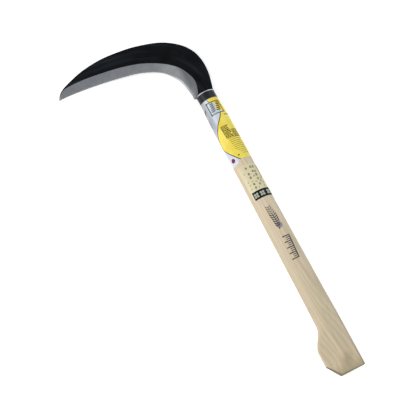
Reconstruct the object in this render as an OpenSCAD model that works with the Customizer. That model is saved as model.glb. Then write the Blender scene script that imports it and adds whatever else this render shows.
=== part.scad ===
// Hand sickle: a curved single-bevel blade of forge-welded steel on a straight wooden handle.
// Frame: origin at the centre of the butt's end face, +Y along the handle towards the blade,
// the blade curving to -X, +Z out of the bevelled side. Millimetres.

/* [Blade] */
// Straight distance from the heel to the tip of the cutting edge
blade_chord = 178; // [165:1:190]
// Thickness of the blade at the shoulder
shoulder_t = 5; // [4:0.1:5.4]
// Thickness of the blade near its tip
tip_t = 1.4; // [1:0.1:2]
// Thickness left at the ground edge
edge_t = 0.25; // [0.2:0.05:0.4]
// Width of the bevel taken by the hard edge steel, as a share
steel_front = 0.2; // [0.15:0.01:0.3]
// Width of the edge steel on the flat back, as a share of the bevel
steel_back = 0.6; // [0.4:0.01:0.8]
// Largest chamfer along the spine
spine_chamfer = 0.7; // [0.4:0.1:1]

/* [Tang] */
// Depth of the tang below the shoulder
tang_len = 75; // [60:1:85]
// Width of the tang at the shoulder
tang_top_w = 15; // [13:0.5:16]
// Width of the tang at its end
tang_end_w = 9; // [8:0.5:10]
// Thickness of the tang
tang_t = 4.4; // [3.6:0.1:4.4]

/* [Handle] */
// Distance from the butt to the top of the ferrule
handle_len = 409.5; // [390:0.5:430]
// Reach of the handle to +X at the butt
butt_right = 16.3; // [15:0.1:17]
// Reach of the ferrule to +X
top_right = 11.4; // [11:0.1:12]
// Reach of the handle to -X above the butt's hook
grip_left = 15.7; // [15:0.1:16.5]
// Reach of the ferrule to -X at its foot
top_left = 13.4; // [13:0.1:14]
// Reach of the butt's hook to -X
hook_left = 29.1; // [26:0.1:30]
// How far the wood swells past the ferrule, all round
swell = 1.1; // [0:0.1:1.5]
// Half of the handle's depth at the butt
butt_half_z = 9; // [8.5:0.1:10]
// Slope of the hoof's shaved face on the hook's side
left_fall = 0.22; // [0.1:0.01:0.3]
// Slope of the hoof's shaved face on the straight side
right_fall = 0.17; // [0.08:0.01:0.25]

/* [Ferrule] */
// Height of the ferrule
ferrule_h = 12; // [10:0.5:15]
// Half of the ferrule's depth
ferrule_half_z = 12; // [10:0.1:12.5]
// Wall of the ferrule
ferrule_wall = 1.1; // [0.8:0.1:1.4]
// How far the ferrule flares to -X at its top
ferrule_flare = 0.8; // [0:0.1:1]
// Bright chamfer round the ferrule's top rim
rim_chamfer = 0.7; // [0.4:0.1:0.9]

/* [Fixings] */
// Diameter of each pin through the handle and tang
pin_d = 3; // [2.5:0.1:3.5]
// Distance from the shoulder down to the upper pin
upper_pin_drop = 47; // [44:1:50]
// Distance between the two pins
pin_pitch = 18; // [14:1:18]
// Length of the wedge beside the tang
wedge_len = 36; // [28:1:38]
// Thickness of the wedge at its wide end
wedge_t = 2.4; // [1.8:0.1:2.8]

/* [Labels] */
// Length of the upper label
upper_label_len = 93.5; // [80:0.5:96]
// Length of the lower label
lower_label_len = 49.5; // [40:0.5:60]
// Bare wood left between the two labels
label_space = 9.5; // [2:0.5:12]
// Thickness of each label's film
label_t = 0.18; // [0.1:0.02:0.3]

/* [Hidden] */

$fn = 48;

ferrule_y = handle_len - ferrule_h;
spigot_top = handle_len - 0.8;
hook_low = 36;
hook_high = 67.5;
shave_low = 60;
shave_high = 115;
shave_end = [-5.3, 20];
shave_lean = 0.085;
section_power = 2;
swell_run = 24;
hook_power = 3;
section_points = 48;
cut_top = [-28.8, 18];
cut_bottom = [-15.3, 0];
label_gap = 0.03;
label_top = ferrule_y - 0.5;
swell_low = ferrule_y - swell_run;
tang_mid_x = -1;
steps_per_station = 5;

// Blade stations from the shoulder to the tip. Each holds a point on the cutting edge,
// one on the line where the bevel starts and one on the spine, from the shoulder's middle,
// and the share of the change from the shoulder's thickness to the tip's.
stations = [
    [[-17, 0], [-11.5, 0], [10.6, 0], 0],
    [[-17, 8], [-7.6, 9.5], [13.8, 12], 0.06],
    [[-19, 20.5], [-5, 22], [16.8, 27], 0.14],
    [[-22.5, 32], [-7.5, 34], [17, 45], 0.24],
    [[-28.5, 42.5], [-14.5, 48], [12.3, 63], 0.34],
    [[-37.5, 53], [-26, 59.5], [0, 79.7], 0.42],
    [[-50, 60.5], [-41.5, 69.5], [-22, 94.4], 0.5],
    [[-67, 67], [-60.5, 78], [-53, 103.6], 0.56],
    [[-87.5, 71], [-84, 84], [-80, 107], 0.62],
    [[-109.5, 74.2], [-108, 87.6], [-106, 107.4], 0.7],
    [[-131.5, 76.5], [-132.5, 90], [-133.5, 103], 0.78],
    [[-150, 77.7], [-152.5, 90.3], [-155.5, 95.5], 0.88],
    [[-163.5, 78.1], [-165.5, 88.8], [-167, 90.1], 0.95],
    [[-172, 77.9], [-173, 83.6], [-173.3, 84.5], 0.98],
    [[-177, 77.3], [-177, 77.8], [-177, 78.3], 1]
];
design_chord = 178;
blade_scale = blade_chord / design_chord;

// One span of a Catmull-Rom spline through b and c
function spline(a, b, c, d, t) =
    b + 0.5 * t * ((c - a) + t * ((2 * a - 5 * b + 4 * c - d) + t * (3 * (b - c) + d - a)));

function clamp(v, low, high) = min(max(v, low), high);

function smooth(v, low, high) =
    let (t = clamp((v - low) / (high - low), 0, 1))
    t * t * (3 - 2 * t);

function blend(a, b, t) = a + (b - a) * t;

function station_count() = len(stations);

// Part p (0 edge, 1 bevel line, 2 spine, 3 taper) of the blade at place u, in stations
function along(u, p) =
    let (
        last = station_count() - 1,
        i = min(floor(u), last - 1),
        t = u - i,
        a = stations[max(i - 1, 0)][p],
        b = stations[i][p],
        c = stations[i + 1][p],
        d = stations[min(i + 2, last)][p]
    )
    spline(a, b, c, d, t);

function blade_t(u) = blend(shoulder_t, tip_t, along(u, 3));

// The blade's flat back lies half a shoulder's thickness below the handle's middle plane
function back_z() = -shoulder_t / 2;

function place(p, z) = [p[0] * blade_scale, p[1] * blade_scale + handle_len, z];

function steel_ring(u) =
    let (
        edge = along(u, 0),
        bevel = along(u, 1),
        t = blade_t(u),
        z = back_z()
    )
    [
        place(blend(edge, bevel, steel_back), z),
        place(blend(edge, bevel, steel_front), z + blend(edge_t, t, steel_front)),
        place(edge, z + edge_t),
        place(edge, z)
    ];

function body_ring(u) =
    let (
        edge = along(u, 0),
        bevel = along(u, 1),
        spine = along(u, 2),
        t = blade_t(u),
        z = back_z(),
        inward = bevel - spine,
        c = min(spine_chamfer, 0.3 * t, 0.4 * norm(inward)),
        inner = spine + inward * (c / norm(inward))
    )
    [
        place(inner, z),
        place(spine, z + c),
        place(spine, z + t - c),
        place(inner, z + t),
        place(bevel, z + t),
        place(blend(edge, bevel, steel_front), z + blend(edge_t, t, steel_front)),
        place(blend(edge, bevel, steel_back), z)
    ];

function places() =
    let (last = station_count() - 1)
    [for (i = [0 : last * steps_per_station]) i / steps_per_station];

// Triangles of an end cap from a fan, for a convex ring of n points
function fan_cap(n) = [for (j = [1 : n - 2]) [0, j, j + 1]];

// Triangles of an end cap for a thin ring that runs out along one side and back along the other
function strip_cap(n) = [
    for (j = [0 : n / 2 - 2])
        for (face = [[j, j + 1, n - 2 - j], [j, n - 2 - j, n - 1 - j]]) face
];

// Closed solid through rings that all have the same number of points
module loft(rings, cap) {
    n = len(rings[0]);
    last = len(rings) - 1;
    points = [for (ring = rings) for (p = ring) p];
    sides = [
        for (i = [0 : last - 1])
            for (j = [0 : n - 1])
                let (a = i * n + j, b = i * n + (j + 1) % n)
                    for (face = [[a, b, b + n], [a, b + n, a + n]]) face
    ];
    start = [for (face = cap) [face[0], face[2], face[1]]];
    end = [for (face = cap) [for (v = face) v + last * n]];
    polyhedron(points = points, faces = concat(sides, start, end));
}

function power(v, e) = sign(v) * pow(abs(v), e);

// Point of an oval section at an angle, from left to right and half_z either side of the middle
function oval(angle, left, right, half_z, squareness, y) =
    let (e = 2 / squareness)
    [
        (left + right) / 2 + (right - left) / 2 * power(cos(angle), e),
        y,
        half_z * power(sin(angle), e)
    ];

// How far short of its full swell the wood is at height y
function drawn_in(y) = swell * clamp((y - swell_low) / swell_run, 0, 1);

function reach_left(y) =
    let (grip = blend(-grip_left, -top_left - swell, (y - hook_high) / (ferrule_y - hook_high)))
    blend(-hook_left, grip, smooth(y, hook_low, hook_high)) + drawn_in(y);

function reach_right(y) = blend(butt_right, top_right + swell, y / ferrule_y) - drawn_in(y);

// Half of the handle's depth where it is fully swollen
function full_half_z() = ferrule_half_z + swell;

function half_depth(y) =
    blend(butt_half_z, full_half_z(), smooth(y, 0, shave_high)) - drawn_in(y);

// How much of the hoof's shaving is left at height y
function shaved(y) = 1 - smooth(y, shave_low, shave_high);

// The edge between the hoof's two shaved faces, which ends in the corner of the saw cuts
function ridge_x(y) =
    blend(cut_bottom[0], shave_end[0], smooth(y, 0, shave_end[1]))
    - shave_lean * max(y - shave_end[1], 0);

// Largest height of the handle at x, under the hoof's shaved faces
function roof(x, y) =
    let (away = x - ridge_x(y))
    half_depth(y) + blend(1.5, 0.1, shaved(y))
    - shaved(y) * (away < 0 ? -left_fall * away : right_fall * away);

// Turns an angle so that a quarter turn falls on the ridge
function to_ridge(angle, y) =
    let (
        left = reach_left(y),
        right = reach_right(y),
        share = (2 * ridge_x(min(y, hook_high)) - left - right) / (right - left),
        quarter = blend(90, acos(power(share, hook_power / 2)), shaved(y)),
        a = abs(angle)
    )
    sign(angle) * (a < 90 ? a * quarter / 90 : 180 - (180 - a) * (180 - quarter) / 90);

function handle_ring(y, grow, angles) = [
    for (angle = angles)
        let (
            a = angle > 180 ? angle : to_ridge(angle, y),
            squareness = blend(section_power, hook_power, shaved(y)),
            half_z = half_depth(y) + grow,
            p = oval(a, reach_left(y) - grow, reach_right(y) + grow, half_z, squareness, y),
            top = roof(p[0], y) + grow
        )
        [p[0], y, clamp(p[2], -top, top)]
];

function full_turn() = [for (i = [0 : section_points - 1]) i * 360 / section_points - 180];

// Ferrule's section at height y, moved in by inset
function ferrule_ring(y, inset) =
    let (
        t = (y - ferrule_y) / ferrule_h,
        left = -top_left - ferrule_flare * t + inset,
        right = top_right - inset
    )
    [
        for (a = full_turn())
            oval(a, left, right, ferrule_half_z - inset, section_power, y)
    ];

module tang_blank(grow_up) {
    top = handle_len + grow_up;
    end = handle_len - tang_len;
    linear_extrude(height = tang_t, center = true)
        polygon([
            [tang_mid_x - tang_top_w / 2, top],
            [tang_mid_x - tang_top_w / 2, handle_len],
            [tang_mid_x - tang_end_w / 2, end + 3],
            [tang_mid_x - tang_end_w / 2 + 3, end],
            [tang_mid_x + tang_end_w / 2 - 3, end],
            [tang_mid_x + tang_end_w / 2, end + 3],
            [tang_mid_x + tang_top_w / 2, handle_len],
            [tang_mid_x + tang_top_w / 2, top]
        ]);
}

module pin_shafts(length) {
    for (i = [0, 1])
        translate([tang_mid_x, handle_len - upper_pin_drop - i * pin_pitch, 0])
            cylinder(d = pin_d, h = length, center = true);
}

module wedge_blank() {
    top = spigot_top;
    translate([tang_mid_x + 4.5, 0, 0])
        rotate([0, -90, 0])
            linear_extrude(height = 9)
                polygon([
                    [tang_t / 2, top],
                    [tang_t / 2 + wedge_t, top],
                    [tang_t / 2 + 0.4, top - wedge_len],
                    [tang_t / 2, top - wedge_len]
                ]);
}

// Slanting saw cut that takes the low corner off the butt's hook
module hook_cut() {
    run = cut_top - cut_bottom;
    translate([cut_bottom[0], cut_bottom[1], 0])
        rotate([0, 0, atan2(run[1], run[0])])
            translate([-20, 0, -20])
                cube([60, 40, 40]);
}

module handle() {
    rings = concat(
        [for (y = [-3, 0, 4, 8, 12, 16, 20, 30]) handle_ring(y, 0, full_turn())],
        [for (y = [hook_low : 3.5 : hook_high]) handle_ring(y, 0, full_turn())],
        [for (y = [78, 85, 92, 99, 107, shave_high, 200, 300]) handle_ring(y, 0, full_turn())],
        [for (y = [swell_low, ferrule_y]) handle_ring(y, 0, full_turn())],
        [for (y = [ferrule_y, spigot_top]) ferrule_ring(y, ferrule_wall)]
    );
    color("burlywood")
        difference() {
            loft(rings, fan_cap(section_points));
            translate([-50, -50, -50])
                cube([100, 50, 100]);
            hook_cut();
            tang_blank(5);
            wedge_blank();
            pin_shafts(60);
        }
}

module ferrule() {
    top = handle_len;
    color("dimgray")
        difference() {
            loft(
                [
                    ferrule_ring(ferrule_y, 0),
                    ferrule_ring(top - rim_chamfer, 0),
                    ferrule_ring(top, rim_chamfer)
                ],
                fan_cap(section_points)
            );
            loft(
                [
                    ferrule_ring(ferrule_y - 0.01, ferrule_wall),
                    ferrule_ring(top + 0.01, ferrule_wall)
                ],
                fan_cap(section_points)
            );
        }
}

module blade_body() {
    color([0.1, 0.11, 0.12])
        difference() {
            union() {
                loft([for (u = places()) body_ring(u)], fan_cap(7));
                tang_blank(4);
            }
            pin_shafts(60);
        }
}

module edge_steel() {
    color("silver")
        loft([for (u = places()) steel_ring(u)], fan_cap(4));
}

module tang_pins() {
    color("gray")
        pin_shafts(2 * full_half_z() - 0.8);
}

module tang_wedge() {
    color("tan")
        wedge_blank();
}

// Thin film that wraps the handle between two angles, with a row at each of the heights
module film(heights, low_angle, high_angle, columns) {
    angles = [for (i = [0 : columns]) blend(low_angle, high_angle, i / columns)];
    back = [for (i = [columns : -1 : 0]) angles[i]];
    loft(
        [
            for (y = heights)
                concat(
                    handle_ring(y, label_gap + label_t, angles),
                    handle_ring(y, label_gap, back)
                )
        ],
        strip_cap(2 * columns + 2)
    );
}

module upper_label() {
    color("gold")
        film([label_top - upper_label_len, swell_low, label_top], -25, 188, 36);
}

module lower_label() {
    top = label_top - upper_label_len - label_space;
    color("khaki")
        film([top - lower_label_len, top], -23, 140, 26);
}

handle();
ferrule();
blade_body();
edge_steel();
tang_pins();
tang_wedge();
upper_label();
lower_label();
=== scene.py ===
"""Looks of the hand sickle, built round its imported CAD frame.

Lengths are millimetres, except for the lights and the camera, in metres.
"""
import functools
import math
import random

import bmesh
import bpy
import numpy as np
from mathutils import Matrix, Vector, noise


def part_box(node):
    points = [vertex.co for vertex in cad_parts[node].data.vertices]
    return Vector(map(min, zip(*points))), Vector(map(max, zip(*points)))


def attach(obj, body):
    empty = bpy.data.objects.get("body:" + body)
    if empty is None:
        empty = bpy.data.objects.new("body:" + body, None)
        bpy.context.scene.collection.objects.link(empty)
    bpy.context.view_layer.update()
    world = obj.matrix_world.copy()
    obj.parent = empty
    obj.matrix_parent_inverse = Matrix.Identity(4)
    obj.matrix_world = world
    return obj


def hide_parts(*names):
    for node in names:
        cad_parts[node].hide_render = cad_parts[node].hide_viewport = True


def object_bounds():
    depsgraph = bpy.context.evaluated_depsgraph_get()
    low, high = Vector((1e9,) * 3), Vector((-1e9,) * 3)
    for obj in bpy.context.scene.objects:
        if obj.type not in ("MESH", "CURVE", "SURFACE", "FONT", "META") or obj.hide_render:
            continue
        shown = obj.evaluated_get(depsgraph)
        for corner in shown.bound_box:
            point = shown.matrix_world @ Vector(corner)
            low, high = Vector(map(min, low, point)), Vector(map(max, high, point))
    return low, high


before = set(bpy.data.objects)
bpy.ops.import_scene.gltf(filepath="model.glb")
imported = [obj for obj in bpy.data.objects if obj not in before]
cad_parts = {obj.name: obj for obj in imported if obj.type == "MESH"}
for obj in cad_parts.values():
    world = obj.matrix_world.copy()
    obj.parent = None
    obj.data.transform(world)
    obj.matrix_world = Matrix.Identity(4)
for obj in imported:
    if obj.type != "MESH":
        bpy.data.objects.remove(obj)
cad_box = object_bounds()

MM = 0.001
WHITE = (1.0, 1.0, 1.0, 1.0)
rng = random.Random(7)


# ---- sizes, from the frame

def node_box(name):
    low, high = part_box(name)
    return low / MM, high / MM


handle_low, handle_high = node_box("handle")
ferrule_low, ferrule_high = node_box("ferrule")
pins_low, pins_high = node_box("tang_pins")
wedge_low, wedge_high = node_box("tang_wedge")
lower_low, lower_high = node_box("lower_label")
blade_low = node_box("blade_body")[0]
upper_high = node_box("upper_label")[1]

SHOULDER_Y = ferrule_high.y
FERRULE_Y = ferrule_low.y
SPIGOT_TOP = handle_high.y
BUTT_RIGHT = handle_high.x
TOP_RIGHT = ferrule_high.x
HOOK_LEFT = -handle_low.x
HALF_Z = handle_high.z
FERRULE_HALF_Z = ferrule_high.z
SWELL = HALF_Z - FERRULE_HALF_Z
BACK_Z = blade_low.z
SHOULDER_T = -2 * BACK_Z
TANG_MID_X = (pins_low.x + pins_high.x) / 2
PIN_R = (pins_high.x - pins_low.x) / 2

# Sizes that the boxes don't give, as in part.scad, but for the swell's longer, eased run
SWELL_RUN = 30.0
GRIP_LEFT = 15.7
TOP_LEFT = 13.4
FERRULE_FLARE = -ferrule_low.x - TOP_LEFT
FERRULE_WALL = 1.1
BUTT_HALF_Z = 9.0
HOOK_LOW, HOOK_HIGH = 36.0, 67.5
RIDGE_HIGH = 115.0
SHAVE_LOW = 60.0
SHAVE_END = (-5.3, 20.0)
SHAVE_LEAN = 0.085
LEFT_FALL, RIGHT_FALL = 0.22, 0.17
CUT_TOP = (-28.8, 18.0)
CUT_BOTTOM = (-15.3, 0.0)
SECTION_POWER = 2.0
HOOK_POWER = 3.0
TIP_T = 1.4
TANG_T = 4.4
TANG_LENGTH = 75.0
TANG_TOP, TANG_FOOT = 7.5, 4.5

# Blade stations: cutting edge, bevel line and spine from the shoulder's middle, then taper
STATIONS = [
    ((-17, 0), (-11.5, 0), (10.6, 0), 0),
    ((-17, 8), (-7.6, 9.5), (13.8, 12), 0.06),
    ((-19, 20.5), (-5, 22), (16.8, 27), 0.14),
    ((-22.5, 32), (-7.5, 34), (17, 45), 0.24),
    ((-28.5, 42.5), (-14.5, 48), (12.3, 63), 0.34),
    ((-37.5, 53), (-26, 59.5), (0, 79.7), 0.42),
    ((-50, 60.5), (-41.5, 69.5), (-22, 94.4), 0.5),
    ((-67, 67), (-60.5, 78), (-53, 103.6), 0.56),
    ((-87.5, 71), (-84, 84), (-80, 107), 0.62),
    ((-109.5, 74.2), (-108, 87.6), (-106, 107.4), 0.7),
    ((-131.5, 76.5), (-132.5, 90), (-133.5, 103), 0.78),
    ((-150, 77.7), (-152.5, 90.3), (-155.5, 95.5), 0.88),
    ((-163.5, 78.1), (-165.5, 88.8), (-167, 90.1), 0.95),
    ((-172, 77.9), (-173, 83.6), (-173.3, 84.5), 0.98),
    ((-177, 77.3), (-177, 77.8), (-177, 78.3), 1),
]


# ---- small helpers

def mix(a, b, t):
    return a + (b - a) * t


def smooth(v, low, high):
    t = min(max((v - low) / (high - low), 0.0), 1.0)
    return t * t * (3 - 2 * t)


def srgb(r, g, b):
    """Linear colour of 0 to 255 screen values."""
    def channel(v):
        v = v / 255
        return v / 12.92 if v <= 0.04045 else ((v + 0.055) / 1.055) ** 2.4
    return (channel(r), channel(g), channel(b), 1.0)


def link(obj):
    bpy.context.scene.collection.objects.link(obj)
    return obj


def shade(bm, sharp_degrees):
    """Smooth shading, split at edges sharper than this."""
    for face in bm.faces:
        face.smooth = True
    for edge in bm.edges:
        edge.smooth = (len(edge.link_faces) != 2
                       or edge.calc_face_angle(0) <= math.radians(sharp_degrees))


def new_object(name, bm, materials, sharp_degrees=180):
    """An object from a bmesh in millimetres, with its normals outward."""
    bmesh.ops.recalc_face_normals(bm, faces=bm.faces)
    shade(bm, sharp_degrees)
    bmesh.ops.scale(bm, vec=(MM, MM, MM), verts=bm.verts)
    mesh = bpy.data.meshes.new(name)
    bm.to_mesh(mesh)
    bm.free()
    for material in materials:
        mesh.materials.append(material)
    return link(bpy.data.objects.new(name, mesh))


def belongs(obj, slot, *nodes):
    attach(obj, "root")
    if nodes:
        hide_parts(*nodes)


def skirt(bm, low, high):
    """Faces between two closed rings of vertices."""
    return [bm.faces.new(corners)
            for corners in zip(low, low[1:] + low[:1], high[1:] + high[:1], high)]


def loft(rings, caps=True, joined=False):
    """Skin through rings of equal length, capped, open or joined end to end.

    Returns the bmesh and its faces as rows[ring][point].
    """
    bm = bmesh.new()
    grid = [[bm.verts.new(p) for p in ring] for ring in rings]
    above = grid[1:] + (grid[:1] if joined else [])
    rows = [skirt(bm, low, high) for low, high in zip(grid, above)]
    if caps:
        bm.faces.new(grid[0][::-1])
        bm.faces.new(grid[-1])
    return bm, rows


def paint(rows, first=0, end=None):
    """Gives the faces from first up to end of each row the second material."""
    for face in (face for row in rows for face in row[first:end]):
        face.material_index = 1


def cut_away(obj, cutters, sharp_degrees, operation="DIFFERENCE"):
    """Cuts the cutters out of obj, or joins them to it, and shades the result."""
    for cutter in cutters:
        modifier = obj.modifiers.new("cut", "BOOLEAN")
        modifier.operation = operation
        modifier.solver = "EXACT"
        modifier.object = cutter
    bpy.context.view_layer.update()
    graph = bpy.context.evaluated_depsgraph_get()
    made = bpy.data.meshes.new_from_object(obj.evaluated_get(graph), depsgraph=graph)
    obj.modifiers.clear()
    bm = bmesh.new()
    bm.from_mesh(made)
    shade(bm, sharp_degrees)
    bm.to_mesh(made)
    bm.free()
    obj.data = made
    for cutter in cutters:
        bpy.data.objects.remove(cutter)


def prism(name, outline, place):
    """Closed solid between two copies of an outline. Corners are place(point, end), end -1 or 1."""
    bm, _ = loft([[place(p, end) for p in outline] for end in (-1, 1)])
    return new_object(name, bm, [])


# ---- shader helpers

class Shader:
    """A material's node tree, with short ways to add and join nodes."""

    def __init__(self, name, **sockets):
        self.material = bpy.data.materials.new(name)
        self.material.use_nodes = True
        self.tree = self.material.node_tree
        self.surface = self.tree.nodes["Principled BSDF"]
        for socket, value in sockets.items():
            self.surface.inputs[socket.replace("_", " ")].default_value = value

    def add(self, kind, inputs=(), **settings):
        node = self.tree.nodes.new("ShaderNode" + kind)
        for key, value in settings.items():
            setattr(node, key, value)
        for key, value in dict(inputs).items():
            self.put(node.inputs[key], value)
        return node

    def put(self, socket, value):
        if isinstance(value, bpy.types.NodeSocket):
            self.tree.links.new(value, socket)
        else:
            socket.default_value = value

    def set(self, socket, value):
        self.put(self.surface.inputs[socket], value)

    def math(self, operation, a, b=0.0, c=0.0):
        return self.add("Math", {0: a, 1: b, 2: c}, operation=operation).outputs[0]

    def plus(self, a, b):
        return self.math("ADD", a, b)

    def times(self, a, b):
        return self.math("MULTIPLY", a, b)

    def weigh(self, *parts):
        """Sum of values, each times its weight."""
        total = 0.0
        for value, weight in parts:
            total = self.math("MULTIPLY_ADD", value, weight, total)
        return total

    def coords(self, scale=(1, 1, 1)):
        """The place on the object, in metres."""
        where = self.add("TexCoord").outputs["Object"]
        return self.add("Mapping", {"Vector": where, "Scale": scale}).outputs[0]

    def axes(self):
        return self.add("SeparateXYZ", {"Vector": self.coords()}).outputs

    def strip(self, scale, turn=0.0):
        """The place on the blade's strip map: along it in x, across it in y."""
        where = self.add("UVMap", uv_map="strip").outputs["UV"]
        node = self.add("Mapping", {"Vector": where, "Scale": scale, "Rotation": (0, 0, turn)})
        return node.outputs[0]

    def noise(self, scale, detail=4.0, rough=0.55, along=1.0, vector=None):
        """Noise at this scale, or at the share along of it lengthways."""
        if vector is None:
            vector = self.coords((1, along, 1))
        node = self.add("TexNoise", {"Vector": vector, "Scale": scale, "Detail": detail,
                                     "Roughness": rough})
        return node.outputs["Fac"]

    def span(self, value, start, end, top=1.0):
        """Rises from 0 to top where a length goes from start to end, in millimetres."""
        node = self.add("MapRange", {"Value": value, "From Min": start * MM, "From Max": end * MM,
                                     "To Max": top})
        return node.outputs[0]

    def ramp(self, value, stops, unit=1.0):
        """Colour or grey ramp from (place, colour) stops, whose places are in this unit."""
        node = self.add("ValToRGB", {"Fac": value})
        elements = node.color_ramp.elements
        while len(elements) < len(stops):
            elements.new(0.5)
        for element, (place, colour) in zip(elements, stops):
            element.position = place * unit
            element.color = colour if hasattr(colour, "__len__") else (colour,) * 3 + (1,)
        return node.outputs["Color"]

    def blend(self, factor, a, b, kind="MIX"):
        node = self.add("Mix", {0: factor}, data_type="RGBA", blend_type=kind)
        self.put(node.inputs[6], a)
        self.put(node.inputs[7], b)
        return node.outputs[2]

    def bump(self, height, distance, strength, under=None):
        """Bump of this depth in millimetres, on top of another one if it is given."""
        node = self.add("Bump", {"Height": height, "Distance": distance * MM, "Strength": strength})
        if under is not None:
            self.put(node.inputs["Normal"], under)
        return node.outputs["Normal"]

    def finish(self, colour, rough_by, low, high, normal):
        """Sets the colour, the normal and a roughness from low to high by a noise."""
        self.set("Base Color", colour)
        self.set("Roughness", self.ramp(rough_by, [(0.3, low), (0.7, high)]))
        self.set("Normal", normal)
        return self.material


def wood_material(name, light, dark, ring_pitch=2.6, ring_share=0.16, grime_and_shade=True):
    """Pale sanded hardwood: growth rings about a far pith, long fibres and short pores."""
    pith_x, pith_z, lean, wander = -31 * MM, -47 * MM, 0.035, 6 * MM
    s = Shader(name, Specular_IOR_Level=0.35)
    x, y, z = s.axes()
    drift = s.noise(1.0, 3.0, vector=s.coords((30, 5, 30)))
    across, deep = s.plus(x, -pith_x), s.plus(z, -pith_z)
    radius = s.math("SQRT", s.weigh((across, across), (deep, deep)))
    radius = s.weigh((radius, 1.0), (y, lean), (drift, wander))
    turn = s.times(radius, 2 * math.pi / (ring_pitch * MM))
    ring = s.math("MULTIPLY_ADD", s.math("SINE", turn), 0.5, 0.5)
    fibre = s.noise(2600, 5.0, 0.6, 0.02)
    streak = s.noise(420, 4.0, 0.6, 0.035)
    pore = s.ramp(s.noise(1500, 2.0, 0.5, 0.06), [(0.30, 1.0), (0.37, 0.0)])
    patch = s.noise(60, 2.0, along=0.25)
    tone = s.weigh((ring, ring_share), (fibre, 0.4), (streak, 0.6 - ring_share))
    warm = s.ramp(patch, [(0.35, (1.0, 0.965, 0.93, 1)), (0.65, (0.985, 1.0, 0.97, 1))])
    colour = s.blend(1.0, s.ramp(tone, [(0.28, dark), (0.66, light)]), warm, "MULTIPLY")
    colour = s.blend(s.times(pore, 0.30), colour, dark)
    # Dirt, marks and painted shade down the sides
    if grime_and_shade:
        colour = soil_and_shade(s, colour, patch, light)
    height = s.weigh((fibre, 0.6), (ring, 0.4), (pore, -0.8))
    return s.finish(colour, fibre, 0.5, 0.68, s.bump(height, 0.08, 0.8))


def soil_and_shade(s, colour, patch, light):
    """Dirt and marks on the wood's colour, mostly towards the butt, and painted shade down both sides."""
    x, y, _ = s.axes()

    # Dirt that gets denser to the butt, and more so over its last millimetres
    held = s.times(s.span(y, 240, 0, 0.42), s.plus(patch, 0.45))
    colour = s.blend(s.plus(held, s.span(y, 13, 0, 0.5)), colour, srgb(158, 144, 112))

    # One soft darker brown spot beside the ridge
    dark_spot = (-2.5 * MM, 14.5 * MM, 9.0 * MM)
    away = s.add("VectorMath", {0: s.coords(), 1: dark_spot}, operation="DISTANCE").outputs["Value"]
    colour = s.blend(s.times(s.span(away, 12, 0, 0.5), s.plus(patch, 0.5)), colour,
                     srgb(128, 112, 84))

    # A paler line along the hoof's ridge
    ridge = s.plus(s.math("MULTIPLY_ADD", y, SHAVE_LEAN, x),
                   -(SHAVE_END[0] + SHAVE_LEAN * SHAVE_END[1]) * MM)
    pale_line = s.span(s.math("ABSOLUTE", ridge), 2.4, 0.4, 0.42)
    reach = s.ramp(y, [(14, 0.0), (20, 1.0), (50, 0.8), (85, 0.0)], MM)
    colour = s.blend(s.times(pale_line, reach), colour, light)

    # Painted shade down both sides, strongest on the right and towards the butt
    slope = (BUTT_RIGHT - TOP_RIGHT - SWELL) / FERRULE_Y
    right = s.span(s.math("MULTIPLY_ADD", y, slope, x), BUTT_RIGHT - 3.6, BUTT_RIGHT - 0.4)
    side_shade_strength = s.ramp(y, [(0, 0.6), (70, 0.45), (200, 0.24)], MM)
    colour = s.blend(s.times(right, side_shade_strength), colour, srgb(106, 98, 86))
    # Fainter painted shade down the left of the grip
    left = s.times(s.span(x, -11, -15), s.span(y, 60, 85, 0.16))
    return s.blend(left, colour, srgb(120, 114, 102))


def lacquer_material(name, colour, sheen, marks, specular, streaks_and_sheen=0.0):
    """Satin black lacquer over a forged skin: mottled gloss, faint hammer waves and dust specks.

    Pale streaks, where asked for, follow the blade by its strip map: forging marks that also stand in for
    a painted sheen.
    """
    s = Shader(name, Specular_IOR_Level=specular)
    broad = s.noise(45, 3.0)
    fine = s.noise(900, 4.0, 0.6)
    dust = s.ramp(s.noise(2400, 1.0), [(0.70, 0.0), (0.78, 1.0)])
    light = tuple(c * 1.9 + 0.002 for c in colour[:3]) + (1,)
    tint = s.ramp(s.weigh((fine, 0.3), (broad, 0.7)), [(0.38, colour), (0.68, light)])
    tint = s.blend(s.times(dust, 0.05), tint, srgb(120, 124, 130))
    if streaks_and_sheen:
        # Pale streaks along the blade: forging marks and painted sheen
        lines = s.noise(1.0, 4.0, 0.6, vector=s.strip((9.0, 110.0, 1.0)))
        band = s.ramp(lines, [(0.48, 0.0), (0.72, 1.0)])
        tint = s.blend(s.times(band, streaks_and_sheen), tint, srgb(58, 66, 74))
    waves = s.bump(broad, 0.6, 0.5)
    return s.finish(tint, fine, sheen - 0.07, sheen + 0.09, s.bump(fine, marks, 0.6, waves))


def ground_steel_material(name, dark, light):
    """Ground steel with fine strokes across the bevel, a painted highlight round the bend and painted
    shade at the heel.
    """
    s = Shader(name, Metallic=0.9)
    strokes = s.strip((1.0, 0.03, 1.0), math.radians(12))
    fine = s.noise(5200, 4.0, 0.7, vector=strokes)
    coarse = s.noise(900, 3.0, 0.6, vector=strokes)
    tone = s.weigh((fine, 0.35), (coarse, 0.3), (s.noise(110, 3.0), 0.35))
    x, y, _ = s.axes()
    # Painted highlight where the curved bevel would reflect the light
    bend_highlight = s.times(s.span(x, -44, -25, 0.34), s.span(y, 411, 422))
    colour = s.blend(bend_highlight, s.ramp(tone, [(0.32, dark), (0.68, light)]), srgb(204, 206, 206))
    # Painted shade on the bevel at the heel, by the ferrule
    colour = s.blend(s.span(x, -19, -13, 0.62), colour, srgb(96, 98, 101))
    return s.finish(colour, coarse, 0.31, 0.46, s.bump(s.plus(fine, coarse), 0.02, 0.55))


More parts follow.
